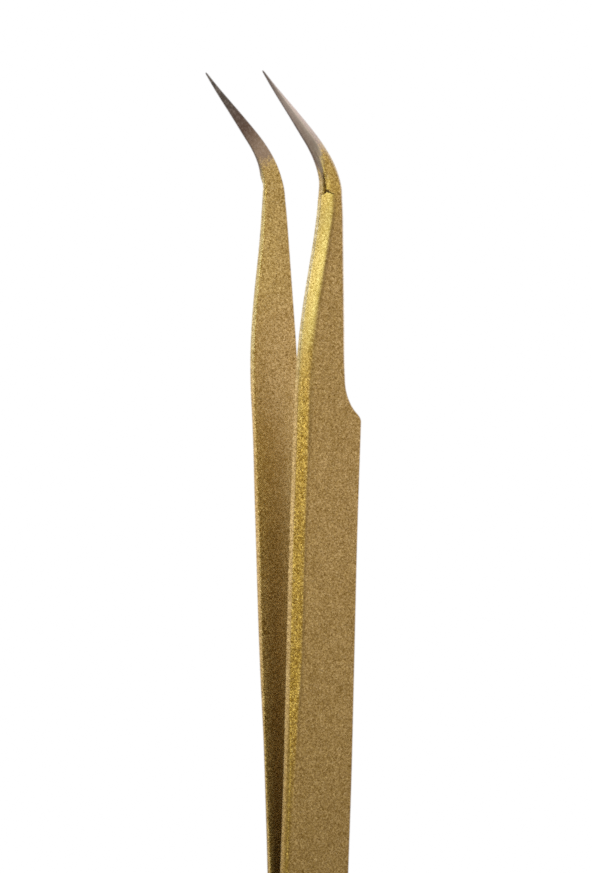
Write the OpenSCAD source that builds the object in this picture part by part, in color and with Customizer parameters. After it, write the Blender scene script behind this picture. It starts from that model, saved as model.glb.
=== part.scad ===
// Fine-pointed spring tongs with upturned points, lying on the lower edges of their arms.
// Millimetres. +X runs from the tail to the points, +Y to the left arm, +Z up, the way the points turn.

/* [Whole] */
// Length from the tail end to the points
length = 120; // [112:1:132]
// Width of each arm, tail to shoulder
arm_w = 9.4; // [8.8:0.1:10.4]
// Thickness of each arm
arm_t = 1.1; // [0.9:0.05:1.3]

/* [Tail] */
// Length over which the arms lie against each other
weld_len = 10; // [9.5:0.5:12]
// Corner radius of the tail end
tail_r = 3; // [1.5:0.1:4]
// Diameter of each spot weld
weld_d = 3.2; // [2:0.1:4]
// Distance between the two spot welds
weld_pitch = 4.8; // [4.4:0.1:5.2]

/* [Spring] */
// Angle of each grip from the middle plane
grip_angle = 3.2; // [2.8:0.1:3.6]
// Angle of each neck from the middle plane
neck_angle = 3; // [2.5:0.05:3.2]
// Angle of each point from the middle plane
tip_lean = 1.4; // [1:0.1:2]
// Distance from the tail end to the line about which an arm bends
flex_x = 33; // [30:0.5:38]
// Clearance left at that line
flex_gap = 0.05; // [0.03:0.01:0.08]

/* [Neck] */
// Distance from the points back to the shoulder corner
shoulder_back = 41.2; // [40:0.2:43]
// Height of the neck's lower edge at the shoulder
shoulder_h = 2.5; // [2:0.1:3]
// Radius of the hollow at the shoulder
shoulder_r = 5.4; // [4.5:0.1:6.5]
// Distance from the points back to the end of the neck
tip_back = 14.4; // [14:0.1:15]
// Width of the neck where it meets the point
neck_w = 3; // [2.6:0.05:3.2]

/* [Bevel] */
// Width of the filed bevel along the upper outer edge
bevel_w = 1.5; // [1:0.1:1.8]
// Depth of that bevel
bevel_d = 0.42; // [0.3:0.02:0.5]
// Distance from the bending line over which the bevel grows to full width
bevel_run = 12; // [9:0.5:16]

/* [Points] */
// Angle by which each point turns up
tip_angle = 41.6; // [36:0.2:46]
// Height of the points above the resting edge
tip_z = 15.1; // [14.6:0.1:15.8]
// Width across the very end of a point
tip_end_w = 0.18; // [0.14:0.02:0.3]
// Thickness of the very end of a point
tip_end_t = 0.16; // [0.12:0.02:0.3]

/* [Hidden] */
gold = [0.61, 0.49, 0.29];
steel = [0.50, 0.45, 0.42];
nugget = [0.45, 0.44, 0.43];

x_should = length - shoulder_back;            // shoulder corner
x_hollow = x_should + sqrt(pow(shoulder_r, 2) - pow(shoulder_r - shoulder_h, 2)); // top of the hollow
x_neck = x_should + 1;                        // the arm's plane turns in a little here
x_tip = length - tip_back;                    // neck ends, point begins
z_mid = tip_z - tip_back * 0.6955;            // height of the neck's middle line at its end

// Half gap: the inner face's distance from the middle plane.
g_neck = (x_neck - weld_len) * tan(grip_angle);
g_tip = g_neck + (x_tip - x_neck) * tan(neck_angle);
function half_gap(x) =
    x <= weld_len ? 0 :
    x <= x_neck ? (x - weld_len) * tan(grip_angle) :
    x <= x_tip ? g_neck + (x - x_neck) * tan(neck_angle) :
    g_tip + (x - x_tip) * tan(tip_lean);

// The line that an arm bends about, at mid-thickness.
hinge = [flex_x - arm_t / 2 * sin(grip_angle), half_gap(flex_x) + arm_t / 2 * cos(grip_angle)];

// Upper edge of the neck: falls in an easy S from the grip to the point.
top_a = [x_neck, arm_w];
top_b = [x_should + 13.4, arm_w];
top_c = [x_tip - 7.5, z_mid + neck_w / 2 + 0.2];
top_d = [x_tip, z_mid + neck_w / 2];
function cubic(t, a, b, c, d) =
    pow(1 - t, 3) * a + 3 * t * pow(1 - t, 2) * b + 3 * t * t * (1 - t) * c + pow(t, 3) * d;
top_steps = 8;
top_edge = [for (i = [0 : top_steps]) cubic(i / top_steps, top_a, top_b, top_c, top_d)];

// Lower edge of the hollow at the shoulder, an arc that starts at the corner.
hollow_steps = 9;
hollow_from = asin((x_hollow - x_should) / shoulder_r);
hollow_edge = [for (i = [0 : hollow_steps])
    let (a = hollow_from * (1 - i / hollow_steps))
    [x_hollow - shoulder_r * sin(a), shoulder_h - shoulder_r + shoulder_r * cos(a)]];

// Middle line of a point: a bend, then straight to the end.
tip_end = [length - tip_end_w / 2 * sin(tip_angle), tip_z - tip_end_w / 2 * cos(tip_angle)];
bend_in = [x_tip, z_mid];
bend_corner = [tip_end[0] - (tip_end[1] - z_mid) / tan(tip_angle), z_mid];
bend_out = bend_corner + (bend_corner[0] - x_tip) * 1.5 * [cos(tip_angle), sin(tip_angle)];
function bend(t) = (1 - t) * (1 - t) * bend_in + 2 * t * (1 - t) * bend_corner + t * t * bend_out;
function bend_dir(t) = (1 - t) * (bend_corner - bend_in) + t * (bend_out - bend_corner);

bend_steps = 12;
straight_steps = 10;
tip_steps = bend_steps + straight_steps;
tip_line = [for (i = [0 : tip_steps])
    i <= bend_steps ? bend(i / bend_steps)
    : bend_out + (tip_end - bend_out) * (i - bend_steps) / straight_steps];
tip_turn = [for (i = [0 : tip_steps])
    i <= bend_steps ? atan2(bend_dir(i / bend_steps)[1], bend_dir(i / bend_steps)[0]) : tip_angle];
function run(i) = i == 0 ? 0 : run(i - 1) + norm(tip_line[i] - tip_line[i - 1]);
tip_run = run(tip_steps);

// Section of a point: flat inside, rounded outside, rounder towards the end.
ring = 14;
function left_to_go(i) = 1 - run(i) / tip_run;
function tip_w(i) = tip_end_w + (neck_w - tip_end_w) * pow(left_to_go(i), 1.05);
function tip_t(i) = tip_end_t + (arm_t - 0.08 - tip_end_t) * pow(left_to_go(i), 0.85);
function fold(v, n) = sign(v) * pow(abs(v), n);
function tip_point(i, j) =
    let (n = 2 / (2.2 + 1.6 * left_to_go(i)),
         a = tip_w(i) / 2 * fold(cos(180 * j / (ring - 1)), n),
         b = tip_t(i) * fold(sin(180 * j / (ring - 1)), n),
         x = tip_line[i][0] - a * sin(tip_turn[i]),
         z = tip_line[i][1] + a * cos(tip_turn[i]))
    [x, half_gap(x) + b, z];

module centred() { translate([-length / 2, 0, 0]) children(); }
module right_side() { mirror([0, 1, 0]) children(); }

// A flat plan drawn in X and Y, raised to the arm's full height.
module plan(points) { translate([0, 0, -1]) linear_extrude(arm_w + 2) polygon(points); }
// A side view drawn in X and Z, given depth along Y.
module side() { translate([0, 20, 0]) rotate([90, 0, 0]) linear_extrude(22) children(); }

// The filed bevel's cutter: a three-sided bar along the upper outer edge. Its flat side sinks into the edge over
// bevel_run, and then keeps the same width and depth along the grip and the neck.
function outer_y(x) = half_gap(x) + arm_t / cos(x <= x_neck ? grip_angle : neck_angle);
bevel_line = concat(
    [[flex_x - 2, arm_w, -2 / bevel_run], [flex_x + bevel_run, arm_w, 1]],
    [for (p = top_edge) [p[0], p[1], 1]],
    [[x_tip + 1, top_d[1], 1]]);
bevel_reach = 1.8 * [bevel_d, -bevel_w] / norm([bevel_d, bevel_w]);
module bevel_cut() {
    pts = [for (s = bevel_line)
        let (y = outer_y(s[0]) - bevel_d / 2 * s[2], z = s[1] - bevel_w / 2 * s[2])
        each [
            [s[0], y + bevel_reach[0], z + bevel_reach[1]],
            [s[0], y - bevel_reach[0], z - bevel_reach[1]],
            [s[0], outer_y(s[0]) + 2, s[1] + 2]]];
    last = 3 * (len(bevel_line) - 1);
    walls = [for (i = [0 : len(bevel_line) - 2]) for (j = [0 : 2])
        let (k = (j + 1) % 3, a = 3 * i + j, b = 3 * i + k)
        each [[a, b, a + 3], [b, b + 3, a + 3]]];
    polyhedron(points = pts, faces = concat(walls, [[2, 1, 0], [last, last + 1, last + 2]]), convexity = 4);
}

module arm_tail() {
    bend_y = arm_t * tan(grip_angle / 2);
    difference() {
        intersection() {
            plan([[-1, 0], [weld_len, 0], [flex_x, half_gap(flex_x)],
                  [flex_x - arm_t * sin(grip_angle), half_gap(flex_x) + arm_t * cos(grip_angle)],
                  [weld_len - bend_y, arm_t], [-1, arm_t]]);
            side() union() {
                translate([tail_r, 0]) square([flex_x - tail_r + 5, arm_w]);
                translate([0, tail_r]) square([tail_r + 1, arm_w - 2 * tail_r]);
                translate([tail_r, tail_r]) circle(r = tail_r, $fn = 64);
                translate([tail_r, arm_w - tail_r]) circle(r = tail_r, $fn = 64);
            }
        }
        translate([hinge[0], hinge[1], -1]) cylinder(r = arm_t / 2 + flex_gap, h = arm_w + 2, $fn = 48);
        for (s = [-1, 1]) translate([weld_len / 2 + s * weld_pitch / 2, -1, arm_w / 2])
            rotate([-90, 0, 0]) cylinder(d = weld_d + 0.01, h = 1 + arm_t * 0.4, $fn = 48);
    }
}

module arm_blade() {
    mid = (grip_angle + neck_angle) / 2;
    difference() {
        union() {
            intersection() {
                plan([[flex_x, half_gap(flex_x)], [x_neck, g_neck], [x_tip, g_tip],
                      [x_tip, g_tip + arm_t / cos(neck_angle)],
                      [x_neck - arm_t * sin(mid), g_neck + arm_t * cos(mid)],
                      [flex_x - arm_t * sin(grip_angle), half_gap(flex_x) + arm_t * cos(grip_angle)]]);
                side() polygon(concat(
                    [[flex_x - 2, 0]], hollow_edge, [[x_tip, z_mid - neck_w / 2]],
                    [for (i = [top_steps : -1 : 0]) top_edge[i]], [[flex_x - 2, arm_w]]));
            }
            translate([hinge[0], hinge[1], 0]) cylinder(r = arm_t / 2 - 0.04, h = arm_w, $fn = 48);
        }
        bevel_cut();
    }
}

module arm_tip() {
    pts = [for (i = [0 : tip_steps]) for (j = [0 : ring - 1]) tip_point(i, j)];
    n = ring;
    last = tip_steps * n;
    walls = [for (i = [0 : tip_steps - 1]) for (j = [0 : n - 1])
        let (k = (j + 1) % n, a = i * n + j, b = i * n + k, c = a + n, d = b + n)
        each [[a, c, b], [b, c, d]]];
    caps = [for (j = [1 : n - 2]) each [[0, j, j + 1], [last, last + j + 1, last + j]]];
    polyhedron(points = pts, faces = concat(walls, caps), convexity = 4);
}

module tail_spot_welds() {
    color(nugget) centred() for (s = [-1, 1])
        translate([weld_len / 2 + s * weld_pitch / 2, -arm_t * 0.4, arm_w / 2])
            rotate([-90, 0, 0]) cylinder(d = weld_d, h = arm_t * 0.8, $fn = 48);
}
module right_arm_tail() { color(gold) centred() right_side() arm_tail(); }
module right_arm_blade() { color(gold) centred() right_side() arm_blade(); }
module right_arm_tip() { color(steel) centred() right_side() arm_tip(); }
module left_arm_tail() { color(gold) centred() arm_tail(); }
module left_arm_blade() { color(gold) centred() arm_blade(); }
module left_arm_tip() { color(steel) centred() arm_tip(); }

tail_spot_welds();
right_arm_tail();
right_arm_blade();
right_arm_tip();
left_arm_tail();
left_arm_blade();
left_arm_tip();
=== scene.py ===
import bpy, bmesh, math
from mathutils import Matrix, Vector


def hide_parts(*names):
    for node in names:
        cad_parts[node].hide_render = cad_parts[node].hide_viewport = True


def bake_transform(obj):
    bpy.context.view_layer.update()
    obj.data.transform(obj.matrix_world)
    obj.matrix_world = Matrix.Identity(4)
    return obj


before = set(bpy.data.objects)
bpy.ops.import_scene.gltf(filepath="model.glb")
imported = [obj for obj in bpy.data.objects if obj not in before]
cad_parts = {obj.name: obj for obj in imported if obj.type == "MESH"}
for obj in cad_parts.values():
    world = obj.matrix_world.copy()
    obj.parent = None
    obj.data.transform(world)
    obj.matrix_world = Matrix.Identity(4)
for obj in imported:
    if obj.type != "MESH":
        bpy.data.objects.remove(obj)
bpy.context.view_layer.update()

scene = bpy.context.scene
MM = 0.001


# ---------------------------------------------------------------- the arm's shape, in mm from the tail end
LENGTH, WIDTH, THICK = 120.0, 9.4, 1.1
WELD, TAIL_R = 9.6, 3.0
X_SHOULD, X_NECK, X_TIP = 78.8, 80.0, 105.6
HOLLOW_R, HOLLOW_H = 5.4, 2.5
X_HOLLOW = X_SHOULD + math.sqrt(HOLLOW_R ** 2 - (HOLLOW_R - HOLLOW_H) ** 2)
NECK_W = 3.02
TIP_Z, TIP_ANGLE, TIP_END_W = 15.1, math.radians(41.6), 0.18
Z_MID = TIP_Z - 14.4 * 0.6955


def smooth(a, b, x):
    t = min(1.0, max(0.0, (x - a) / (b - a)))
    return t * t * (3 - 2 * t)


def mix(a, b, t):
    return a + (b - a) * t


# Half gap between the arms: the pads part softly, then the arms bow out a little, run straighter and bow out again
# before the shoulder, as bent spring strip does.
def slope(x):
    s = 0.0642 * smooth(WELD - 4, WELD + 4, x)
    for at, soft, to in ((36, 6, 0.044), (65, 6, 0.062), (85, 5, 0.051), (X_TIP, 4, 0.023)):
        s = mix(s, to, smooth(at - soft, at + soft, x))
    return s


GAP_STEP = 0.05
GAP = [0.0]
while len(GAP) < 125 / GAP_STEP:
    GAP.append(GAP[-1] + GAP_STEP * slope((len(GAP) - 0.5) * GAP_STEP))


def half_gap(x):
    k = max(0.0, x) / GAP_STEP
    i = int(k)
    return mix(GAP[i], GAP[i + 1], k - i) + 0.008


def top_bezier(t):
    a, b = (X_NECK, WIDTH), (X_SHOULD + 13.4, WIDTH)
    d = (X_TIP, Z_MID + NECK_W / 2)
    c = (X_TIP - 7.5, d[1] + 0.2)
    u = 1 - t
    return [u ** 3 * a[i] + 3 * t * u * u * b[i] + 3 * t * t * u * c[i] + t ** 3 * d[i] for i in (0, 1)]


def top_z(x):
    """The upper edge, ground away a little before the shoulder."""
    return plain_top(x) - 0.11 * math.exp(-((x - 79) / (16.0 if x < 79 else 9.5)) ** 2)


def plain_top(x):
    if x < TAIL_R:
        return WIDTH - (TAIL_R - math.sqrt(max(0.0, TAIL_R ** 2 - (TAIL_R - x) ** 2)))
    if x <= X_NECK:
        return WIDTH
    lo, hi = 0.0, 1.0
    for _ in range(40):
        m = (lo + hi) / 2
        lo, hi = (m, hi) if top_bezier(m)[0] < x else (lo, m)
    return top_bezier(lo)[1]


def low_z(x):
    if x < TAIL_R:
        return TAIL_R - math.sqrt(max(0.0, TAIL_R ** 2 - (TAIL_R - x) ** 2))
    if x <= X_SHOULD:
        return 0.0
    if x <= X_HOLLOW:
        return HOLLOW_H - HOLLOW_R + math.sqrt(HOLLOW_R ** 2 - (X_HOLLOW - x) ** 2)
    t = (x - X_HOLLOW) / (X_TIP - X_HOLLOW)
    return mix(HOLLOW_H, Z_MID - NECK_W / 2, t) - 0.09 * smooth(84, 89, x) * (1 - smooth(102.5, X_TIP, x))


def low_z_soft(x):
    """The lower edge with its shoulder corner rounded a little."""
    if abs(x - X_SHOULD) > 0.7:
        return low_z(x)
    n, r = 14, 0.5
    return sum(low_z(x + r * (2 * (i + 0.5) / n - 1)) for i in range(n)) / n


# Middle line of the point: a bend, then straight to the end.
TIP_END = (LENGTH - TIP_END_W / 2 * math.sin(TIP_ANGLE), TIP_Z - TIP_END_W / 2 * math.cos(TIP_ANGLE))
BEND_IN = (X_TIP, Z_MID)
BEND_MID = (TIP_END[0] - (TIP_END[1] - Z_MID) / math.tan(TIP_ANGLE), Z_MID)
_b = (BEND_MID[0] - X_TIP) * 1.5
BEND_OUT = (BEND_MID[0] + _b * math.cos(TIP_ANGLE), BEND_MID[1] + _b * math.sin(TIP_ANGLE))


def tip_line():
    """Points along the middle line with the direction of travel, from the neck to the end."""
    out = []
    for i in range(121):
        t = i / 120
        p = [(1 - t) ** 2 * BEND_IN[k] + 2 * t * (1 - t) * BEND_MID[k] + t * t * BEND_OUT[k] for k in (0, 1)]
        d = [(1 - t) * (BEND_MID[k] - BEND_IN[k]) + t * (BEND_OUT[k] - BEND_MID[k]) for k in (0, 1)]
        out.append((p[0], p[1], math.atan2(d[1], d[0])))
    for i in range(1, 121):
        t = i / 120
        out.append((mix(BEND_OUT[0], TIP_END[0], t), mix(BEND_OUT[1], TIP_END[1], t), TIP_ANGLE))
    run = [0.0]
    for a, b in zip(out, out[1:]):
        run.append(run[-1] + math.hypot(b[0] - a[0], b[1] - a[1]))
    return out, run


TIP_PTS, TIP_RUN = tip_line()
TIP_LEN = TIP_RUN[-1]


def on_tip(s):
    if s < 0:  # still on the neck
        x = X_TIP + s
        return [x, (top_z(x) + low_z(x)) / 2, 0.0]
    lo, hi = 0, len(TIP_RUN) - 1
    while hi - lo > 1:
        m = (lo + hi) // 2
        lo, hi = (m, hi) if TIP_RUN[m] <= s else (lo, m)
    t = (s - TIP_RUN[lo]) / (TIP_RUN[hi] - TIP_RUN[lo])
    return [mix(TIP_PTS[lo][k], TIP_PTS[hi][k], t) for k in range(3)]


NOTCH = 0.12  # the bevel ends this far into the bend


def section(across, depth, low_cut, up_cut, radii, faces=20):
    """A closed ring of (a, b): a across the arm from its lower edge, b out from its inner face.
    up_cut and low_cut are the (width, depth) taken off the outer edges. The ring always has the same number of points."""
    (lw, ld), (uw, ud) = low_cut, up_cut
    corners = [(0, 0), (across, 0), (across, depth - ud), (across - uw, depth), (lw, depth), (0, depth - ld)]
    n = len(corners)
    arcs = []
    for i, c in enumerate(corners):
        p, q = corners[i - 1], corners[(i + 1) % n]
        lp, lq = math.dist(c, p), math.dist(c, q)
        up = ((p[0] - c[0]) / lp, (p[1] - c[1]) / lp)
        uq = ((q[0] - c[0]) / lq, (q[1] - c[1]) / lq)
        half = math.acos(max(-1, min(1, up[0] * uq[0] + up[1] * uq[1]))) / 2
        back = min(radii[i] / math.tan(half), 0.46 * lp, 0.46 * lq)
        a = (c[0] + up[0] * back, c[1] + up[1] * back)
        b = (c[0] + uq[0] * back, c[1] + uq[1] * back)
        arc = []
        for k in range(6):
            t = k / 5
            # a rational quadratic gives a true round when the two sides are equal
            w = math.sin(half)
            den = (1 - t) ** 2 + 2 * w * t * (1 - t) + t * t
            arc.append(tuple(((1 - t) ** 2 * a[j] + 2 * w * t * (1 - t) * c[j] + t * t * b[j]) / den for j in (0, 1)))
        arcs.append(arc)
    ring = []
    fill = [faces, 2, 4, faces, 2, 2]  # extra points along the side after each corner
    for i in range(n):
        ring += arcs[i]
        a, b = arcs[i][-1], arcs[(i + 1) % n][0]
        m = fill[i]
        ring += [(mix(a[0], b[0], (k + 1) / (m + 1)), mix(a[1], b[1], (k + 1) / (m + 1))) for k in range(m)]
    return ring


def bevel(x, side):
    """(width, depth) of the hand-filed bevel, which differs a little on the two arms. On the right arm it runs out
    towards the tail and gets steeper in the neck; on the left arm it goes on further and deepens before it runs out."""
    if side < 0:
        grow = max(0.0, min(1.0, (x - 28.0) / 18.0))
        w = mix(0.6, mix(1.5, mix(1.52, 1.46, smooth(98, 105, x)), smooth(82, 89, x)), max(0.0, min(1.0, (x - 28.0) / 22.0)) ** 1.4)
        w += flare(x)
        d = mix(0.02, mix(0.26, DEEP[side], smooth(70, 93, x)), grow ** 2.6) * (1 + 0.068 * smooth(84, 90, x) - 0.128 * smooth(97, 104, x))
    else:
        grow = smooth(10, 30, x)
        w, d = 1.5 * grow, (mix(0.38, DEEP[side], smooth(81, 90, x)) + 0.34 * math.exp(-((x - 38) / 11) ** 2) + end_cut(x)) * grow
    return max(0.03, w), max(0.02, d)


def flare(x):
    """The right arm's bevel narrows a little at the shoulder and widens just before its end."""
    return 0.12 * math.exp(-((x - 103) / 1.8) ** 2) - 0.1 * math.exp(-((x - 82) / 4) ** 2)


def end_cut(x):
    """The left arm's bevel is cut deeper before the shoulder and where it ends."""
    return 0.16 * math.exp(-((x - 77) / 6) ** 2) + 0.2 * math.exp(-((x - 106) / 2) ** 2)


DEEP = {-1: 0.53, 1: 0.40}  # the bevel's depth in the neck of the right and of the left arm


def low_edge(x):
    """The lower outer edge: barely broken on the grip, eased off on the neck."""
    neck = smooth(X_SHOULD + 1, X_SHOULD + 9, x)
    return mix(0.06, 0.42, neck), mix(0.05, 0.36, neck)


def stations():
    out = []

    def span(a, b, n, end=False):
        out.extend(a + (b - a) * i / n for i in range(n + (1 if end else 0)))

    out.extend(TAIL_R * (1 - math.cos(math.radians(a))) for a in (2, 5, 9, 14, 20, 26, 32, 38, 44, 50, 56, 62, 68, 74, 80, 85))
    span(TAIL_R, 12.4, 40)
    span(12.4, 27, 14)
    span(27, 47, 26)
    span(47, 77.8, 20)
    span(77.8, 84.2, 44)
    span(84.2, X_TIP - 0.7, 33, True)
    return out


def on_bevel(in_from_edge, under_face, bw, bd):
    """1 on the bevel's flat, 0 away from it."""
    t = in_from_edge / bw
    off = abs(under_face - bd * (1 - t))
    return (1 - smooth(0.04, 0.12, off)) * smooth(-0.05, 0.08, t) * (1 - smooth(0.9, 1.15, t))


def notch_shift(s, in_from_edge, under_face, out):
    """How far the outer face is drawn back at the end of the bevel, which gives that end a rounded outline."""
    if s < NOTCH - 2.5 or s > NOTCH + 1.6:
        return 0.0
    w = in_from_edge - under_face
    u = (w - 0.72) / 0.72
    win = smooth(NOTCH - 2.5, NOTCH, s) if s < NOTCH else 1 - smooth(NOTCH, NOTCH + 1.6, s)
    return 0.4 * min(1.0, u * u) * (1 - smooth(1.5, 2.4, w)) * smooth(0.3, 0.6, out) * win


def arm_rings(side):
    """Rings of points for the arm at +Y. Each point holds its place (x, y, z), the way left to the end of the point,
    its place across the arm from lower to upper edge, its place through the thickness from inner to outer face, the
    painted shade just below the bevel's ridge and on the eased tail edge, the painted shade in and around the small
    crack (which also sets the crack's groove), whether it is on the bevel, how far down the bevel from its upper edge,
    and the painted highlight on the lip by the crack."""
    deep, cracked = DEEP[side], side < 0  # the right arm's bevel stops in a cracked step, the left arm's fades out
    rings = []
    for x in stations():
        z0, z1 = low_z_soft(x), top_z(x)
        bw, bd = bevel(x, side)
        lw, ld = low_edge(x)
        tail = 1 - smooth(34, 48, x)
        r = [0.14, 0.05, mix(0.07, 0.5, tail), 1.4 + 3.4 * math.exp(-((x - 84) / 6) ** 2), 0.2, 0.14]
        ring = []
        for a, b in section(z1 - z0, THICK, (lw, ld), (bw, bd), r):
            z = z0 + a
            filed = on_bevel(z1 - z0 - a, THICK - b, bw, bd) * smooth(20, 44, x) * (1.0 if cracked else 0.35)
            dent = 0.0
            if x < 13 and b > THICK * 0.95:  # shallow marks of the spot welds
                for cx in (2.6, 7.4):
                    d = math.hypot(x - cx, z - WIDTH / 2)
                    dent += 0.07 * (1 - smooth(0.9, 1.7, d))
            off = a - (z1 - z0 - bw)
            # painted shade: a dark line just below the bevel's ridge
            ridge_shade = (1 - smooth(0.05, 0.34, abs(off + 0.2))) * smooth(0.55, 1.0, b / THICK) * smooth(33, 47, x)
            if cracked:  # painted shade: the eased edge towards the tail is darkened too, damping a highlight on its rounding
                eased = tail * (1 - smooth(0.4, 0.8, z1 - z0 - a))
                ridge_shade = max(ridge_shade, 0.7 * eased * smooth(0.5, 0.75, b / THICK))
                filed = max(filed, 0.8 * eased * smooth(0.25, 0.55, b / THICK))
            px = x - (notch_shift(x - X_TIP, z1 - z0 - a, THICK - b, b / THICK) if cracked else 0.0)
            ring.append((px, half_gap(px) + b - dent, z, TIP_LEN + X_TIP - x, a / (z1 - z0), b / THICK, ridge_shade, 0.0, filed, (z1 - z0 - a) / bw, 0.0))
        rings.append(ring)
    # the point: the bevel stops, and the section rounds off towards the end
    runs = [NOTCH + d for d in (-0.6, -0.46, -0.34, -0.24, -0.17, -0.12, -0.08, -0.04, 0.0, 0.04, 0.08, 0.12, 0.18, 0.25, 0.33, 0.42)]
    k = NOTCH + 0.52
    while k < TIP_LEN - 0.6:
        runs.append(k)
        k += 0.12 if k < NOTCH + 3 else 0.24
    runs += [TIP_LEN - d for d in (0.55, 0.42, 0.3, 0.2, 0.12, 0.06, 0.02, 0.0)]
    for s in runs:
        cx, cz, turn = on_tip(s)
        cz += 0.1 * math.exp(-((TIP_LEN - s - 2.8) / 2.8) ** 2)  # the last of the point is ground a little upwards
        left = 1 - max(0.0, s) / TIP_LEN
        across = (TIP_END_W + (NECK_W - TIP_END_W) * left ** 1.02) * (1 - 0.055 * smooth(0, 2, s) * (1 - smooth(5, 10, s)))
        if s < 0:
            across = top_z(cx) - low_z(cx)
        depth = 0.16 + (THICK - 0.16) * left ** 0.85
        end = max(0.0, 1 - (TIP_LEN - s) / 0.3)
        round_off = math.sqrt(max(0.0, 1 - end * end)) if end > 0 else 1.0
        across *= mix(0.35, 1, round_off)
        depth *= mix(0.35, 1, round_off)
        fine = smooth(0.8, 7.0, s)
        full = smooth(NOTCH - 0.02, NOTCH + 0.06, s) if cracked else smooth(1.2, 2.8, s)
        bw = mix((1.46 + flare(cx) if cracked else 1.5) * min(1.0, across / NECK_W), mix(0.09, 0.50, fine) * across, full)
        bd = mix(deep * 0.94 if cracked else deep + end_cut(cx), mix(0.13, 0.62, fine) * depth, full)
        lw, ld = mix(0.42, 0.40 * across, fine), mix(0.36, 0.62 * depth, fine)
        q = min(1.0, across / NECK_W + 0.1)
        r = [0.14 * q, 0.14 * q, mix(0.08, 0.8 * q, fine), mix(mix(1.4, 0.10, full), 2.2 * q, fine), mix(0.2, 1.6 * q, fine), mix(0.14, 0.5 * q, fine)]
        ring = []
        for a, b in section(across, depth, (lw, ld), (bw, bd), r):
            o = a - across / 2
            crack_and_shade = draw = lip_highlight = 0.0
            if cracked:  # the crack: a groove a short way down the upper outer edge and a hook across the end of the bevel, with painted shade in and around it and a painted highlight on the lip beside it
                draw = notch_shift(s, across - a, depth - b, b / depth)
                w, t = (across - a) - (depth - b), (s - NOTCH) / 2.9
                mid = mix(0.27, 0.06, smooth(0.0, 0.4, t)) + 0.035 * math.sin(8 * s + 1) + 0.02 * math.sin(21 * s)
                half = mix(0.17, 0.1, min(1.0, max(0.0, t)))
                along = (1 - smooth(half, half + 0.14, abs(w - mid))) * smooth(-0.05, 0.03, t)
                along *= (1 - 0.2 * smooth(0.1, 0.5, t)) * (1 - smooth(1.6, 2.6, t))
                hook = NOTCH + 0.03 + 0.16 * (w - 0.3) + 0.03 * math.sin(14 * w)
                cross = (1 - smooth(0.05, 0.17, abs(s - hook))) * smooth(0.2, 0.3, w) * (1 - smooth(0.65, 0.95, w))
                crack_side_shade = 0.2 * (1 - smooth(0.0, 0.55, abs(mid - w))) * smooth(-0.1, 0.1, t) * (1 - smooth(0.5, 1.0, t))
                shade = 0.36 * (1 - smooth(0.16, 0.42, abs(w - mix(0.33, 0.66, smooth(0.9, 1.6, t))))) * smooth(0.5, 0.7, t) * (1 - smooth(1.9, 2.8, t))
                crack_and_shade = max(along, cross, crack_side_shade, shade) * smooth(0.2, 0.45, b / depth)
                lip_highlight = (1 - smooth(0.1, 0.42, abs(w - 0.72))) * smooth(0.03, 0.15, t) * (1 - smooth(0.5, 0.85, t)) * smooth(0.5, 0.8, b / depth)
            x = cx - o * math.sin(turn) - draw
            # painted shade just below the ridge, fading out round the bend
            ridge_shade = (1 - smooth(0.0, 0.4, abs(a - (across - bw) + 0.14))) * smooth(0.55, 1.0, b / depth) * (1 - full)
            ring.append((x, half_gap(x) + b - 0.16 * max(0.0, crack_and_shade - 0.45) / 0.55 * (1 - smooth(1.6, 2.8, s)), cz + o * math.cos(turn),
                         TIP_LEN - s, a / across, b / depth, ridge_shade, crack_and_shade, on_bevel(across - a, depth - b, bw, bd) * (1 - full) * (1.0 if cracked else 0.35),
                         (across - a) / bw, lip_highlight))
        rings.append(ring)
    return rings


def build_arm(name, side):
    """One strip from tail to point. side is +1 for the left arm and -1 for the right."""
    rings = arm_rings(side)
    n = len(rings[0])
    # the tail's rim: the first ring is drawn in over a few steps so that the end has soft edges
    first = rings[0]
    cz = sum(p[2] for p in first) / n
    cy = half_gap(0) + THICK / 2
    rim = []
    for back, t in ((0.0, 0.14), (0.018, 0.085), (0.06, 0.03)):
        rim.append([(back, cy + (p[1] - cy) * (1 - t / (THICK / 2)), cz + (p[2] - cz) * (1 - t / 2.0), *p[3:]) for p in first])
    rings = rim + rings
    flat = [p for ring in rings for p in ring]
    verts = [((p[0] - LENGTH / 2) * MM, side * p[1] * MM, p[2] * MM) for p in flat]
    faces = []
    for i in range(len(rings) - 1):
        for j in range(n):
            k = (j + 1) % n
            faces.append((i * n + j, i * n + k, (i + 1) * n + k, (i + 1) * n + j))
    faces.append(tuple(reversed(range(n))))
    last = (len(rings) - 1) * n
    faces.append(tuple(last + j for j in range(n)))
    if side < 0:
        faces = [tuple(reversed(f)) for f in faces]
    me = bpy.data.meshes.new(name)
    me.from_pydata(verts, [], faces)
    rest = me.attributes.new("rest", "FLOAT_VECTOR", "POINT")
    rest.data.foreach_set("vector", [c / MM for v in verts for c in v])
    for k, label in enumerate(("to_end", "across", "outer", "ridge_shade", "crack_and_shade", "filed", "down", "lip_highlight")):
        at = me.attributes.new(label, "FLOAT", "POINT")
        at.data.foreach_set("value", [p[3 + k] for p in flat])
    ob = bpy.data.objects.new(name, me)
    scene.collection.objects.link(ob)
    bm = bmesh.new()
    bm.from_mesh(me)
    bmesh.ops.recalc_face_normals(bm, faces=bm.faces)
    bm.to_mesh(me)
    bm.free()
    for p in me.polygons:
        p.use_smooth = True
    m = ob.modifiers.new("even_normals", "WEIGHTED_NORMAL")
    m.mode = "FACE_AREA"
    m.weight = 50
    m.keep_sharp = True
    return ob


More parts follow.
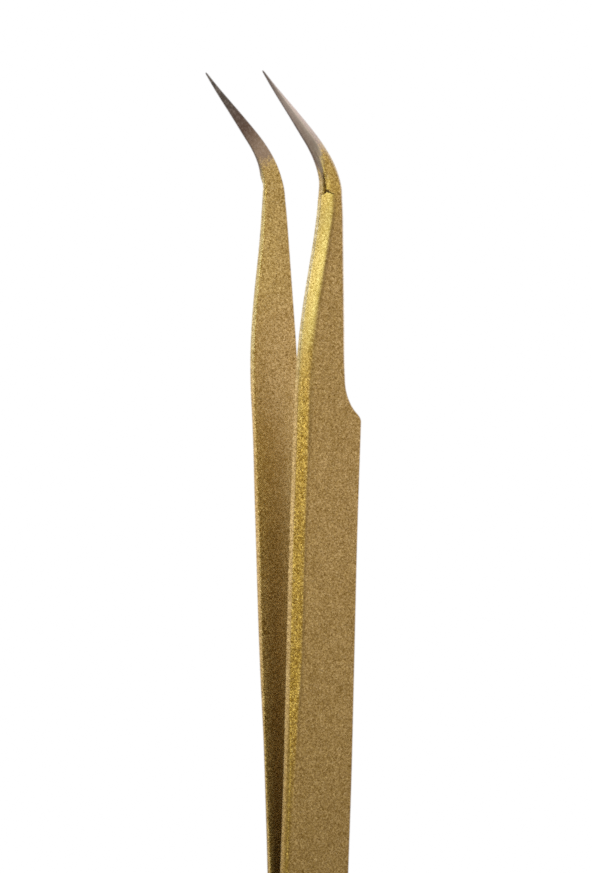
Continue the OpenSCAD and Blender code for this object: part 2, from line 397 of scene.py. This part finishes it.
# ---------------------------------------------------------------- materials
class Nodes:
    """Short helper for building a material's node tree."""

    def __init__(self, tree):
        self.t = tree
        tree.nodes.clear()

    def add(self, kind, **settings):
        n = self.t.nodes.new(kind)
        for k, v in settings.items():
            if k.startswith("in_"):
                n.inputs[k[3:].replace("_", " ")].default_value = v
            else:
                setattr(n, k, v)
        return n

    def link(self, a, b):
        self.t.links.new(a, b)

    def math(self, op, a, b=None, clamp=False):
        n = self.t.nodes.new("ShaderNodeMath")
        n.operation, n.use_clamp = op, clamp
        for i, v in enumerate((a, b)):
            if v is None:
                continue
            if isinstance(v, (int, float)):
                n.inputs[i].default_value = v
            else:
                self.link(v, n.inputs[i])
        return n.outputs[0]

    def vec(self, op, a, b=None, scale=None):
        n = self.t.nodes.new("ShaderNodeVectorMath")
        n.operation = op
        for i, v in enumerate((a, b)):
            if v is None:
                continue
            if isinstance(v, tuple):
                n.inputs[i].default_value = v
            else:
                self.link(v, n.inputs[i])
        if scale is not None:
            if isinstance(scale, (int, float)):
                n.inputs["Scale"].default_value = scale
            else:
                self.link(scale, n.inputs["Scale"])
        return n.outputs["Value"] if op in ("LENGTH", "DOT_PRODUCT") else n.outputs[0]

    def ramp(self, value, stops, interpolation="LINEAR"):
        n = self.t.nodes.new("ShaderNodeValToRGB")
        n.color_ramp.interpolation = interpolation
        e = n.color_ramp.elements
        while len(e) < len(stops):
            e.new(0.5)
        for el, (pos, col) in zip(e, stops):
            el.position = pos
            el.color = (*col, 1.0) if len(col) == 3 else col
        self.link(value, n.inputs[0])
        return n.outputs[0]

    def mixc(self, f, a, b, blend="MIX"):
        n = self.t.nodes.new("ShaderNodeMix")
        n.data_type, n.blend_type = "RGBA", blend
        for sock, v in ((n.inputs[0], f), (n.inputs[6], a), (n.inputs[7], b)):
            if isinstance(v, (int, float)):
                sock.default_value = v
            elif isinstance(v, tuple):
                sock.default_value = (*v, 1.0) if len(v) == 3 else v
            else:
                self.link(v, sock)
        return n.outputs[2]

    def mixf(self, f, a, b):
        n = self.t.nodes.new("ShaderNodeMix")
        n.data_type = "FLOAT"
        for sock, v in ((n.inputs[0], f), (n.inputs[2], a), (n.inputs[3], b)):
            if isinstance(v, (int, float)):
                sock.default_value = v
            else:
                self.link(v, sock)
        return n.outputs[0]

    def voronoi(self, vector, scale, feature="F1", randomness=1.0):
        n = self.add("ShaderNodeTexVoronoi", voronoi_dimensions="3D", feature=feature)
        n.inputs["Scale"].default_value = scale
        n.inputs["Randomness"].default_value = randomness
        self.link(vector, n.inputs["Vector"])
        return n

    def noise(self, vector, scale, detail=2.0, rough=0.5):
        n = self.add("ShaderNodeTexNoise", noise_dimensions="3D")
        n.inputs["Scale"].default_value = scale
        n.inputs["Detail"].default_value = detail
        n.inputs["Roughness"].default_value = rough
        self.link(vector, n.inputs["Vector"])
        return n.outputs["Fac"]


def coat_material():
    """Gold glitter lacquer that thins out to bare ground steel near the end of the point."""
    mat = bpy.data.materials.new("gold_glitter_coat")
    mat.use_nodes = True
    n = Nodes(mat.node_tree)
    out = n.add("ShaderNodeOutputMaterial")
    bsdf = n.add("ShaderNodeBsdfPrincipled")
    n.link(bsdf.outputs[0], out.inputs[0])

    def attr(name, sock="Fac"):
        return n.add("ShaderNodeAttribute", attribute_name=name).outputs[sock]

    rest, to_end, across, outer = attr("rest", "Vector"), attr("to_end"), attr("across"), attr("outer")
    ridge_shade, crack_and_shade, filed, down = attr("ridge_shade"), attr("crack_and_shade"), attr("filed"), n.math("MULTIPLY", attr("down"), 1.0, True)
    normal = n.add("ShaderNodeNewGeometry").outputs["Normal"]

    # flakes: each cell is one glitter grain with its own tilt and tone
    flake = n.voronoi(rest, FLAKE)
    sep = n.add("ShaderNodeSeparateColor")
    n.link(flake.outputs["Color"], sep.inputs[0])
    tone = sep.outputs[2]
    tilt = n.vec("SUBTRACT", flake.outputs["Color"], (0.5, 0.5, 0.5))
    fine = n.voronoi(rest, FLAKE * 1.7)
    tilt2 = n.vec("SUBTRACT", fine.outputs["Color"], (0.5, 0.5, 0.5))
    tilt = n.vec("ADD", n.vec("SCALE", tilt, scale=TILT), n.vec("SCALE", tilt2, scale=TILT * 0.6))
    on_neck = n.math("MULTIPLY", n.math("SUBTRACT", n.math("SUBTRACT", 48.6, to_end), n.math("MULTIPLY", down, 6.0)), 1 / 11, True)
    calm = n.math("MULTIPLY", filed, n.math("ADD", 0.2, n.math("MULTIPLY", on_neck, 0.8)))  # grains lie smoother on the filed bevel
    coarse = n.math("MULTIPLY", filed, n.math("SUBTRACT", 1.0, on_neck))  # and rougher along the grip
    tilt = n.vec("SCALE", tilt, scale=n.math("ADD", n.math("SUBTRACT", 1.0, n.math("MULTIPLY", calm, 0.55)), n.math("MULTIPLY", coarse, 0.9)))
    flake_normal = n.vec("NORMALIZE", n.vec("ADD", normal, tilt))

    cloud = n.noise(rest, 0.55, 3.0)
    tone2 = n.math("ADD", n.math("MULTIPLY", tone, 0.88), n.math("MULTIPLY", cloud, 0.12))
    deep = n.math("MULTIPLY", n.math("MULTIPLY", n.math("SUBTRACT", to_end, 50.0), 0.1, True), n.math("SUBTRACT", 1.0, outer))
    stretch = n.math("ADD", n.math("SUBTRACT", 1.2, n.math("MULTIPLY", outer, 0.13)), n.math("MULTIPLY", deep, 0.4))
    stretch = n.math("ADD", n.math("SUBTRACT", stretch, n.math("MULTIPLY", calm, 0.47)), n.math("MULTIPLY", coarse, 0.36))
    tone2 = n.math("ADD", 0.5, n.math("MULTIPLY", n.math("SUBTRACT", tone2, 0.5), stretch))  # so the grains differ more on the grip's bevel and inside
    gold = n.mixc(n.math("SUBTRACT", stretch, 1.0, True), n.ramp(tone2, GOLD), (0.865, 0.83, 0.66), "MULTIPLY")
    deep_gold = n.math("MULTIPLY", filed, n.math("SUBTRACT", 0.85, n.math("MULTIPLY", on_neck, 0.75)))
    deep_gold = n.math("MULTIPLY", deep_gold, n.math("SUBTRACT", 1.0, n.math("MULTIPLY", n.math("MULTIPLY", n.math("SUBTRACT", down, 0.72), 3.6, True), 0.5)))
    gold = n.mixc(deep_gold, gold, (0.98, 0.92, 0.50), "MULTIPLY")  # and the gold is deeper there
    gold = n.mixc(n.math("MULTIPLY", filed, on_neck), gold, (0.90, 1.01, 1.24), "MULTIPLY")  # painted highlight: paler, lemon gold along the neck's bevel, the tint of the softbox's shine in it
    by_top = n.math("SUBTRACT", 1.0, n.math("MULTIPLY", down, 1.6), True)
    gold = n.mixc(n.math("MULTIPLY", n.math("MULTIPLY", filed, on_neck), by_top), gold, (0.88, 0.80, 0.72), "MULTIPLY")  # painted shade: darker and more orange near the bevel's upper edge, so the highlight reads brightest towards the ridge
    rim = n.math("SUBTRACT", 1.0, n.math("MULTIPLY", down, 3.6), True)
    gold = n.mixc(n.math("MULTIPLY", n.math("MULTIPLY", filed, on_neck), rim), gold, (0.80, 0.87, 1.15), "MULTIPLY")  # painted shade: duller still along its upper rim
    low_neck = n.math("MULTIPLY", n.math("MULTIPLY", n.math("SUBTRACT", to_end, 35.0), 0.5, True), n.math("MULTIPLY", n.math("SUBTRACT", 43.5, to_end), 0.4, True))
    gold = n.mixc(n.math("MULTIPLY", low_neck, filed), gold, (0.96, 0.90, 0.84), "MULTIPLY")  # and deeper again where the neck begins
    top = n.math("MULTIPLY", n.math("SUBTRACT", across, 0.985), 90.0, True)
    top_sheen = n.math("MULTIPLY", n.math("MULTIPLY", top, n.math("MULTIPLY", n.math("SUBTRACT", 42.0, to_end), 1 / 6, True)), n.math("MULTIPLY", n.math("SUBTRACT", to_end, 17.6), 0.5, True))
    gold = n.mixc(top_sheen, gold, (1.0, 1.16, 1.5), "MULTIPLY")  # painted sheen: paler along the neck's upper edge
    facing = n.math("SUBTRACT", 1.0, n.math("MULTIPLY", outer, 3.0), True)
    side = n.add("ShaderNodeSeparateXYZ")
    n.link(rest, side.inputs[0])
    gold = n.mixc(n.math("MULTIPLY", n.math("MULTIPLY", top_sheen, n.math("MULTIPLY", n.math("SUBTRACT", 37.0, to_end), 1 / 6, True)), n.math("MULTIPLY", side.outputs[1], -10.0, True)), gold, (1.14, 1.22, 1.75), "MULTIPLY")  # painted sheen, most on the right arm
    crack_strip_shade = n.math("MULTIPLY", n.math("SUBTRACT", 18.6, to_end), 0.8, True)
    crack_strip_shade = n.math("MULTIPLY", n.math("MULTIPLY", crack_strip_shade, n.math("MULTIPLY", n.math("SUBTRACT", to_end, 15.0), 0.7, True)), n.math("MULTIPLY", top, n.math("MULTIPLY", side.outputs[1], -10.0, True)))
    gold = n.mixc(crack_strip_shade, gold, (0.80, 0.86, 1.25), "MULTIPLY")  # painted shade: duller on the upper edge beside the crack
    on_left = n.math("MULTIPLY", side.outputs[1], 10.0, True)
    left_top_sheen = n.math("MULTIPLY", n.math("MULTIPLY", top, on_left), n.math("MULTIPLY", n.math("SUBTRACT", 20.0, to_end), 0.5, True))
    gold = n.mixc(left_top_sheen, gold, (1.0, 1.16, 1.75), "MULTIPLY")  # painted sheen: on the left arm the upper edge stays pale round the bend
    under = n.math("MULTIPLY", n.math("MULTIPLY", n.math("SUBTRACT", 22.5, to_end), 0.33, True), n.math("MULTIPLY", n.math("SUBTRACT", to_end, 16.0), 0.5, True))
    under = n.math("MULTIPLY", n.math("MULTIPLY", under, n.math("SUBTRACT", outer, n.math("ADD", filed, on_left), True)), n.math("MULTIPLY", n.math("SUBTRACT", across, 0.1), 3.3, True))
    gold = n.mixc(under, gold, (1.05, 1.04, 0.68), "MULTIPLY")  # thick under the end of the right arm's bevel
    tailward = n.math("MULTIPLY", n.math("MULTIPLY", n.math("SUBTRACT", to_end, 56.0), 0.03, True), outer)
    gold = n.mixc(tailward, gold, (1.0, 1.0, 0.93), "MULTIPLY")
    neckward = n.math("MULTIPLY", facing, n.math("MULTIPLY", n.math("SUBTRACT", 33.0, to_end), 0.25, True))
    gold = n.mixc(neckward, gold, (1.0, 1.015, 0.88), "MULTIPLY")
    bevel_end_highlight = n.math("MULTIPLY", n.math("SUBTRACT", filed, on_left, True), n.math("MULTIPLY", n.math("SUBTRACT", 20.8, to_end), 0.6, True))
    gold = n.mixc(bevel_end_highlight, gold, (1.17, 1.16, 1.14), "MULTIPLY")  # painted highlight: brighter where the bevel ends
    # painted shade: the middle of the grip's bevel a little darker
    mid_bevel_shade = n.math("MULTIPLY", n.math("MULTIPLY", n.math("SUBTRACT", to_end, 52.0), 0.12, True), n.math("MULTIPLY", n.math("SUBTRACT", 82.0, to_end), 0.15, True))
    gold = n.mixc(n.math("MULTIPLY", mid_bevel_shade, filed), gold, (0.955, 0.955, 0.93), "MULTIPLY")
    worn = n.math("MULTIPLY", top, n.math("MULTIPLY", n.math("SUBTRACT", to_end, 66.0), 1 / 14, True))
    gold = n.mixc(worn, gold, (0.96, 0.96, 0.82), "MULTIPLY")  # and deeper towards the tail
    gap_light_tint = n.math("MULTIPLY", n.math("MULTIPLY", n.math("SUBTRACT", to_end, 55.0), 0.022, True), n.math("SUBTRACT", 1.0, outer))
    gold = n.mixc(gap_light_tint, gold, n.mixc(across, (0.95, 1.12, 1.32), (0.93, 0.92, 0.85)), "MULTIPLY")  # painted light deep between the arms: paler and bluer low on the inner faces, a little darker high up
    low_inner_shade = n.math("MULTIPLY", n.math("MULTIPLY", n.math("SUBTRACT", to_end, 46.0), 0.1, True), n.math("MULTIPLY", n.math("SUBTRACT", 70.0, to_end), 0.1, True))
    low_inner_shade = n.math("MULTIPLY", n.math("MULTIPLY", low_inner_shade, facing), n.math("MULTIPLY", n.math("SUBTRACT", 0.72, across), 3.2, True))
    gold = n.mixc(low_inner_shade, gold, (0.86, 0.86, 0.86), "MULTIPLY")  # painted shade: inside the grip the inner faces are darker low down
    high_inner_light = n.math("MULTIPLY", n.math("MULTIPLY", n.math("SUBTRACT", to_end, 44.0), 0.16, True), n.math("MULTIPLY", n.math("SUBTRACT", 66.0, to_end), 0.14, True))
    high_inner_light = n.math("MULTIPLY", n.math("MULTIPLY", high_inner_light, facing), n.math("MULTIPLY", n.math("SUBTRACT", across, 0.6), 2.5, True))
    gold = n.mixc(high_inner_light, gold, (1.10, 1.12, 1.07), "MULTIPLY")  # painted light: and brighter high up
    at_bend = n.math("MULTIPLY", n.math("MULTIPLY", n.math("SUBTRACT", to_end, 11.5), 0.5, True), n.math("MULTIPLY", n.math("SUBTRACT", 18.4, to_end), 0.7, True))
    gold = n.mixc(n.math("MULTIPLY", at_bend, outer), gold, (1.07, 1.09, 0.84), "MULTIPLY")  # thick coat where it ends on the bend
    spark = n.math("MULTIPLY", n.math("MULTIPLY", n.math("SUBTRACT", sep.outputs[1], 0.972), 36.0, True), n.math("SUBTRACT", 1.0, calm))
    gold = n.mixc(n.math("MULTIPLY", spark, 0.45), gold, (1.0, 0.86, 0.48))
    # painted shade: a dark line just below the bevel's ridge and on the eased tail edge
    gold = n.mixc(n.math("MULTIPLY", ridge_shade, 0.5), gold, (0.15, 0.089, 0.024))
    gold = n.mixc(attr("lip_highlight"), gold, (1.45, 1.62, 1.95), "MULTIPLY")  # painted highlight on the lip beside the crack
    # painted shade in and around the crack
    gold = n.mixc(n.math("MULTIPLY", crack_and_shade, 1.5, True), gold, (0.080, 0.042, 0.006))
    gold_rough = n.math("ADD", 0.33, n.math("MULTIPLY", sep.outputs[0], 0.2))

    # bare steel: fine grinding lines along the point, a brown heat tint, and a painted reflection: darker and duller on
    # the inner side, standing in for the dim surroundings it mirrors
    lines = n.noise(n.vec("MULTIPLY", rest, (1.0, 3.0, 1.0)), 3.4, 4.0, 0.65)
    tint = n.noise(rest, 0.35, 2.0)
    inner_shaded_c = n.ramp(n.math("MULTIPLY", to_end, 1 / 16), [(0.0, (0.079, 0.067, 0.058)), (0.3, (0.078, 0.058, 0.046)), (0.55, (0.107, 0.065, 0.044)), (0.75, (0.27, 0.19, 0.125)), (1.0, (0.26, 0.172, 0.108))])
    outer_c = n.mixc(tint, (0.57, 0.472, 0.41), (0.72, 0.615, 0.55))
    at_end = n.math("MULTIPLY", n.math("SUBTRACT", 5.0, to_end), 0.2, True)
    outer_c = n.mixc(n.math("MULTIPLY", at_end, 0.9), outer_c, (0.14, 0.115, 0.10))
    # painted reflection: the point's upper side is darkened, standing in for the dim surroundings it mirrors
    upper_shade = n.math("MULTIPLY", n.math("SUBTRACT", across, 0.28), 2.1, True)
    near_coat = n.math("MULTIPLY", n.math("SUBTRACT", to_end, 6.5), 0.2, True)
    outer_c = n.mixc(n.math("MULTIPLY", n.math("MULTIPLY", upper_shade, n.math("ADD", 0.70, n.math("MULTIPLY", near_coat, 0.30))), 0.85), outer_c, (0.20, 0.122, 0.096))
    outer_c = n.mixc(n.math("MULTIPLY", near_coat, 0.45), outer_c, (0.30, 0.232, 0.165))
    steel = n.mixc(n.math("MULTIPLY", outer, 2.5, True), inner_shaded_c, outer_c)
    mottle = n.noise(rest, 2.6, 3.0, 0.6)
    steel = n.mixc(n.math("MULTIPLY", n.math("SUBTRACT", lines, 0.35), 1.5, True), steel, n.mixc(0.5, steel, (0.05, 0.04, 0.034)))
    steel = n.mixc(n.math("MULTIPLY", n.math("SUBTRACT", mottle, 0.45), 2.2, True), steel, n.mixc(0.35, steel, (0.55, 0.46, 0.40)))
    # painted shade in and around the crack on the bare steel too
    steel = n.mixc(n.math("MULTIPLY", crack_and_shade, 0.9, True), steel, (0.11, 0.080, 0.055))
    steel_rough = n.math("ADD", 0.38, n.math("MULTIPLY", lines, 0.25))

    # where the coat stops: a ragged, speckled edge that runs further back along the upper edge
    ragged = n.math("ADD", n.math("MULTIPLY", n.noise(rest, 1.3, 4.0, 0.65), 1.8), n.math("MULTIPLY", tone, 1.4))
    lower = n.math("SUBTRACT", 1.0, across)
    low_side = n.math("SUBTRACT", n.math("MULTIPLY", n.math("MULTIPLY", outer, lower), 2.0), n.math("MULTIPLY", lower, 0.7))
    edge = n.math("ADD", n.math("SUBTRACT", n.math("SUBTRACT", to_end, 13.9), n.math("MULTIPLY", across, 1.9)), n.math("ADD", ragged, n.math("SUBTRACT", low_side, n.math("MULTIPLY", n.math("MULTIPLY", n.math("MULTIPLY", n.math("SUBTRACT", across, 0.78), 5.0, True), outer, True), 1.6))))
    edge = n.math("ADD", edge, n.math("MULTIPLY", facing, n.math("SUBTRACT", n.math("MULTIPLY", across, 1.75), 1.15)))  # straight across the inner face
    bare = n.math("SUBTRACT", 1.0, n.math("ADD", n.math("MULTIPLY", edge, 0.8), 0.5, True), True)

    n.link(n.mixc(bare, gold, steel), bsdf.inputs["Base Color"])
    n.link(n.mixf(bare, gold_rough, steel_rough), bsdf.inputs["Roughness"])
    nm = n.t.nodes.new("ShaderNodeMix")
    nm.data_type = "VECTOR"
    n.link(bare, nm.inputs[0])
    n.link(flake_normal, nm.inputs[4])
    n.link(normal, nm.inputs[5])
    n.link(nm.outputs[1], bsdf.inputs["Normal"])
    bsdf.inputs["Metallic"].default_value = 1.0
    glint = n.math("ADD", 0.1, n.math("MULTIPLY", tone2, 1.8))  # pale grains also shine more
    coat = n.math("MULTIPLY", n.math("MULTIPLY", n.math("SUBTRACT", 0.6, n.math("MULTIPLY", filed, 0.3)), glint), n.math("SUBTRACT", n.math("SUBTRACT", 1.0, n.math("MULTIPLY", ridge_shade, 0.5)), crack_and_shade), True)
    n.link(n.math("MULTIPLY", n.math("SUBTRACT", 1.0, bare), coat), bsdf.inputs["Coat Weight"])  # the clear lacquer over the grains
    bsdf.inputs["Coat Roughness"].default_value = 0.28
    bsdf.inputs["Coat IOR"].default_value = 1.5
    return mat


FLAKE, TILT = 12.5, 0.1  # grains per mm, and how far they tip
GOLD = [(0.0, (0.138, 0.068, 0.003)), (0.35, (0.263, 0.153, 0.021)), (0.75, (0.465, 0.307, 0.090)), (1.0, (0.715, 0.511, 0.213))]


def weld_material():
    mat = bpy.data.materials.new("weld_nugget_steel")
    mat.use_nodes = True
    n = Nodes(mat.node_tree)
    out = n.add("ShaderNodeOutputMaterial")
    bsdf = n.add("ShaderNodeBsdfPrincipled")
    n.link(bsdf.outputs[0], out.inputs[0])
    at = n.add("ShaderNodeTexCoord").outputs["Object"]
    grain = n.noise(at, 2600.0, 4.0, 0.6)
    n.link(n.mixc(grain, (0.16, 0.15, 0.145), (0.34, 0.32, 0.31)), bsdf.inputs["Base Color"])
    n.link(n.math("ADD", 0.35, n.math("MULTIPLY", grain, 0.3)), bsdf.inputs["Roughness"])
    bsdf.inputs["Metallic"].default_value = 1.0
    return mat


COAT, WELDS = coat_material(), weld_material()

right = build_arm("right_arm_strip", -1)
left = build_arm("left_arm_strip", +1)
for ob, body, nodes in (
    (right, "right_arm", ("right_arm_tail", "right_arm_blade", "right_arm_tip")),
    (left, "left_arm", ("left_arm_tail", "left_arm_blade", "left_arm_tip")),
):
    ob.data.materials.append(COAT)
    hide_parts(*nodes)
    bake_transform(ob)

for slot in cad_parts["tail_spot_welds"].material_slots:
    slot.material = WELDS


# ---------------------------------------------------------------- floor, light and camera
def sheet(name, x0, y0, x1, y1, z):
    me = bpy.data.meshes.new(name)
    me.from_pydata([(x0, y0, z), (x1, y0, z), (x1, y1, z), (x0, y1, z)], [], [(0, 1, 2, 3)])
    ob = bpy.data.objects.new(name, me)
    scene.collection.objects.link(ob)
    mat = bpy.data.materials.new(name)
    mat.use_nodes = True
    n = Nodes(mat.node_tree)
    me.materials.append(mat)
    out, glow = n.add("ShaderNodeOutputMaterial"), n.add("ShaderNodeEmission")
    n.link(glow.outputs[0], out.inputs[0])
    return ob, n, glow


# the pale floor that the picture shows, and a bounce card on it that lights the tongs from below and in front
back_floor, _, glow = sheet("floor", -6, -6, 6, 6, -0.00006)
glow.inputs["Strength"].default_value = 1.0
for ray in ("diffuse", "glossy", "transmission", "shadow"):
    setattr(back_floor, "visible_" + ray, False)
card, n, glow = sheet("bounce_card", -0.12, -0.060, 0.12, 0.06, -0.00003)
along = n.add("ShaderNodeSeparateXYZ")
n.link(n.add("ShaderNodeTexCoord").outputs["Object"], along.inputs[0])
along_x = n.math("ADD", 0.752, n.math("MULTIPLY", n.math("MINIMUM", along.outputs[0], 0.026), 5.4))
# a little brighter on the strip of floor between the arms and behind them than in front
inside = n.math("ADD", n.math("MULTIPLY", along.outputs[1], 1000.0), n.math("MULTIPLY", n.math("ADD", along.outputs[0], 0.0504), 55.3))
tipward = n.math("MULTIPLY", n.math("SUBTRACT", along.outputs[0], 0.010), 80.0, True)
behind = n.math("MULTIPLY", n.math("MULTIPLY", n.math("SUBTRACT", inside, 0.8), 0.3, True), tipward)
between = n.math("MULTIPLY", n.math("ADD", n.math("MULTIPLY", inside, 0.7), 0.95, True), n.math("SUBTRACT", 1.0, n.math("MULTIPLY", behind, 0.6)))
front = n.math("MULTIPLY", n.math("SUBTRACT", -2.0, inside), 0.4, True)
towards_tips = n.math("MULTIPLY", n.math("SUBTRACT", along.outputs[0], 0.010), 31.0, True)
towards_tail = n.math("MULTIPLY", n.math("SUBTRACT", -0.018, along.outputs[0]), 60.0, True)
gain = n.math("ADD", n.math("SUBTRACT", 0.92, n.math("MULTIPLY", towards_tips, 0.36)), n.math("MULTIPLY", towards_tail, 0.6))
in_front = n.math("MULTIPLY", n.math("SUBTRACT", -0.016, along.outputs[1]), 45.0, True)  # and warmer and brighter well in front
at_neck = n.math("SUBTRACT", 1.0, n.math("MULTIPLY", n.math("ABSOLUTE", n.math("SUBTRACT", along.outputs[0], 0.0275)), 65.0), True)
gain = n.math("ADD", gain, n.math("MULTIPLY", at_neck, 0.35))
at_grip = n.math("SUBTRACT", 1.0, n.math("MULTIPLY", n.math("ABSOLUTE", n.math("SUBTRACT", along.outputs[0], 0.012)), 40.0), True)
by_foot = n.math("MULTIPLY", n.math("SUBTRACT", 6.0, inside), 0.33, True)  # dimmer close to the right arm's foot
gain = n.math("MULTIPLY", gain, n.math("SUBTRACT", 1.0, n.math("MULTIPLY", n.math("MULTIPLY", at_grip, by_foot), 0.2)))
level = n.math("ADD", n.math("ADD", n.math("SUBTRACT", 1.0, n.math("MULTIPLY", n.math("MULTIPLY", front, n.math("SUBTRACT", tipward, n.math("MULTIPLY", n.math("SUBTRACT", along.outputs[0], 0.038), 110.0, True))), 0.11)), n.math("MULTIPLY", between, gain)), n.math("MULTIPLY", in_front, 0.34))
n.link(n.math("MULTIPLY", along_x, level), glow.inputs["Strength"])
n.link(n.mixc(in_front, n.mixc(between, (0.985, 0.895, 0.955), (1.0, 1.0, 1.0)), (1.0, 0.93, 0.72)), glow.inputs["Color"])
card.visible_camera = card.visible_shadow = False

world = bpy.data.worlds.new("studio")
scene.world = world
world.use_nodes = True
wn = Nodes(world.node_tree)
wo = wn.add("ShaderNodeOutputWorld")
bg = wn.add("ShaderNodeBackground")
wn.link(bg.outputs[0], wo.inputs[0])
bg.inputs["Color"].default_value = (1, 1, 1, 1)
height = wn.add("ShaderNodeSeparateXYZ")
wn.link(wn.add("ShaderNodeTexCoord").outputs["Generated"], height.inputs[0])
overhead = wn.math("MULTIPLY", wn.math("SUBTRACT", height.outputs[2], 0.55), 3.0, True)  # a pale ceiling
wn.link(wn.math("ADD", 0.45, wn.math("MULTIPLY", overhead, 0.4)), bg.inputs["Strength"])


def area(name, at, aim, size, power, colour=(1, 1, 1)):
    lamp = bpy.data.lights.new(name, "AREA")
    lamp.shape = "RECTANGLE"
    lamp.size, lamp.size_y = size
    lamp.energy = power
    lamp.color = colour
    ob = bpy.data.objects.new(name, lamp)
    ob.location = at
    ob.rotation_mode = "QUATERNION"
    ob.rotation_quaternion = (Vector(aim) - Vector(at)).to_track_quat("-Z", "Y")
    ob.visible_camera = False
    scene.collection.objects.link(ob)
    return ob


area("front_softbox", (0.29, -0.60, 0.140), (0.29, 0, 0.140), (0.41, 0.26), 5.1, (0.89, 1.0, 0.94))
area("back_softbox", (0.075, 0.18, 0.145), (0.045, 0, 0), (0.23, 0.14), 0.155, (1.0, 0.97, 0.88))

# Camera: long lens, above the right arm's face, rolled so that the points are up in the picture.
PX, FRAME_H = 8.4, 873.0                        # picture scale in px per mm, picture height in px
ELEV, YAW, ROLL = math.radians(37.0), math.radians(-0.2), 0.0035
DIST = 2.0
back = Vector((math.sin(YAW), -math.cos(ELEV) * math.cos(YAW), math.sin(ELEV) * math.cos(YAW)))
right_v = Vector((0, -math.sin(ELEV), -math.cos(ELEV)))
up_v = back.cross(right_v).normalized()
right_v = up_v.cross(back).normalized()
r2 = (right_v * math.cos(ROLL) - up_v * math.sin(ROLL)).normalized()
u2 = back.cross(r2).normalized()
target = Vector((0.01661, -0.000036, 0.006082))
cam_data = bpy.data.cameras.new("camera")
cam_data.sensor_fit = "AUTO"
cam_data.sensor_width = 36.0
cam_data.lens = 18.0 / (FRAME_H / PX / 2 * MM / DIST)
cam_data.clip_start, cam_data.clip_end = 0.05, 20.0
cam = bpy.data.objects.new("camera", cam_data)
m = Matrix((r2, u2, back)).transposed().to_4x4()
m.translation = target + back * DIST
cam.matrix_world = m
scene.collection.objects.link(cam)
scene.camera = cam

scene.cycles.use_denoising = False
scene.cycles.filter_width = 1.9
scene.view_settings.view_transform = "Standard"
scene.view_settings.look = "None"
scene.view_settings.exposure = 0.0
scene.view_settings.gamma = 1.0
